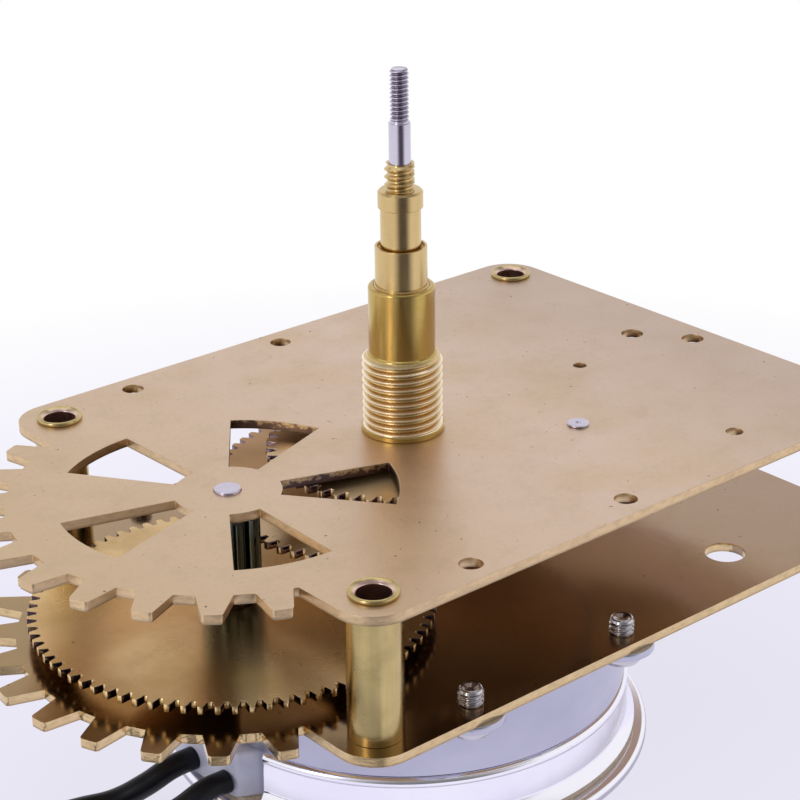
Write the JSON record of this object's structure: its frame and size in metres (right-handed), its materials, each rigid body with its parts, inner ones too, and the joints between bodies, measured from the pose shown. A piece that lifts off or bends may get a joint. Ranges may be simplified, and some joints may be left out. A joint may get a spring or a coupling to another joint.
{
  "type": "electric tower clock movement",
  "caption": "Open brass tower clock movement: two pierced plates on pillars, wheel train, hour, minute and seconds hand shafts, and a synchronous gear motor with two leads.",
  "frame": {"origin": "hand shaft's axis, at the foot of the dial bush's thread, 0.7 mm above the front plate's outer face", "axes": "+Z along the hand shaft towards the hands, +X from the wheel-shaped end of the plates to their straight end"},
  "size_m": [0.1378, 0.1128, 0.0889],
  "materials": {
    "plate_brass": "brushed, slightly stained rolled brass",
    "wheel_brass": "blanked and turned brass",
    "turned_brass": "bright turned brass",
    "pillar_brass": "drawn brass",
    "bright_steel": "turned steel",
    "dark_steel": "hardened, oiled steel",
    "plated_steel": "zinc plated drawn steel",
    "bronze": "sintered bronze",
    "sealant": "brown fibre ring",
    "white_plastic": "moulded translucent white plastic",
    "black_sleeve": "black silicone sleeving"
  },
  "bodies": {
    "frame": {"front_plate": "plate_brass", "back_plate": "plate_brass", "pillars": "pillar_brass", "dial_bush": "turned_brass", "motion_stud": "bright_steel", "stud_clip": "dark_steel", "mounting_flange": "plated_steel", "motor_screws": "bright_steel", "gearbox_case": "plated_steel", "output_bush": "bronze", "motor_can": "plated_steel", "sealing_ring": "sealant", "base_cover": "plated_steel", "terminal_block": "white_plastic", "lead_left": "black_sleeve", "lead_right": "black_sleeve"},
    "intermediate": {"intermediate_arbor": "bright_steel", "intermediate_pinion": "dark_steel", "intermediate_hub": "turned_brass", "intermediate_wheel": "wheel_brass"},
    "seconds": {"second_arbor": "bright_steel", "second_pinion": "dark_steel", "drive_sleeve": "turned_brass", "output_shaft": "bright_steel"},
    "minutes": {"minute_pipe": "turned_brass", "minute_pinion": "wheel_brass", "minute_hub": "turned_brass", "minute_wheel": "wheel_brass"},
    "motion": {"motion_wheel": "wheel_brass", "motion_pinion": "wheel_brass"},
    "hours": {"hour_pipe": "turned_brass", "hour_wheel": "wheel_brass"}
  },
  "joints": [
    {"name": "intermediate_turn", "type": "hinge", "parent": "frame", "child": "intermediate", "pos_m": [-0.0272, 0, 0], "axis": [0, 0, 1], "continuous": true},
    {"name": "seconds_turn", "type": "hinge", "parent": "frame", "child": "seconds", "pos_m": [0, 0, 0], "axis": [0, 0, 1], "continuous": true},
    {"name": "minutes_turn", "type": "hinge", "parent": "frame", "child": "minutes", "pos_m": [0, 0, 0], "axis": [0, 0, 1], "continuous": true},
    {"name": "motion_turn", "type": "hinge", "parent": "frame", "child": "motion", "pos_m": [0.01678, -0.01408, 0], "axis": [0, 0, 1], "continuous": true},
    {"name": "hours_turn", "type": "hinge", "parent": "frame", "child": "hours", "pos_m": [0, 0, 0], "axis": [0, 0, 1], "continuous": true}
  ],
  "couplings": [
    {"joint": "seconds_turn", "follows": "intermediate_turn", "ratio": -8},
    {"joint": "minutes_turn", "follows": "intermediate_turn", "ratio": -0.13333},
    {"joint": "motion_turn", "follows": "intermediate_turn", "ratio": 0.037037},
    {"joint": "hours_turn", "follows": "intermediate_turn", "ratio": -0.011111}
  ]
}
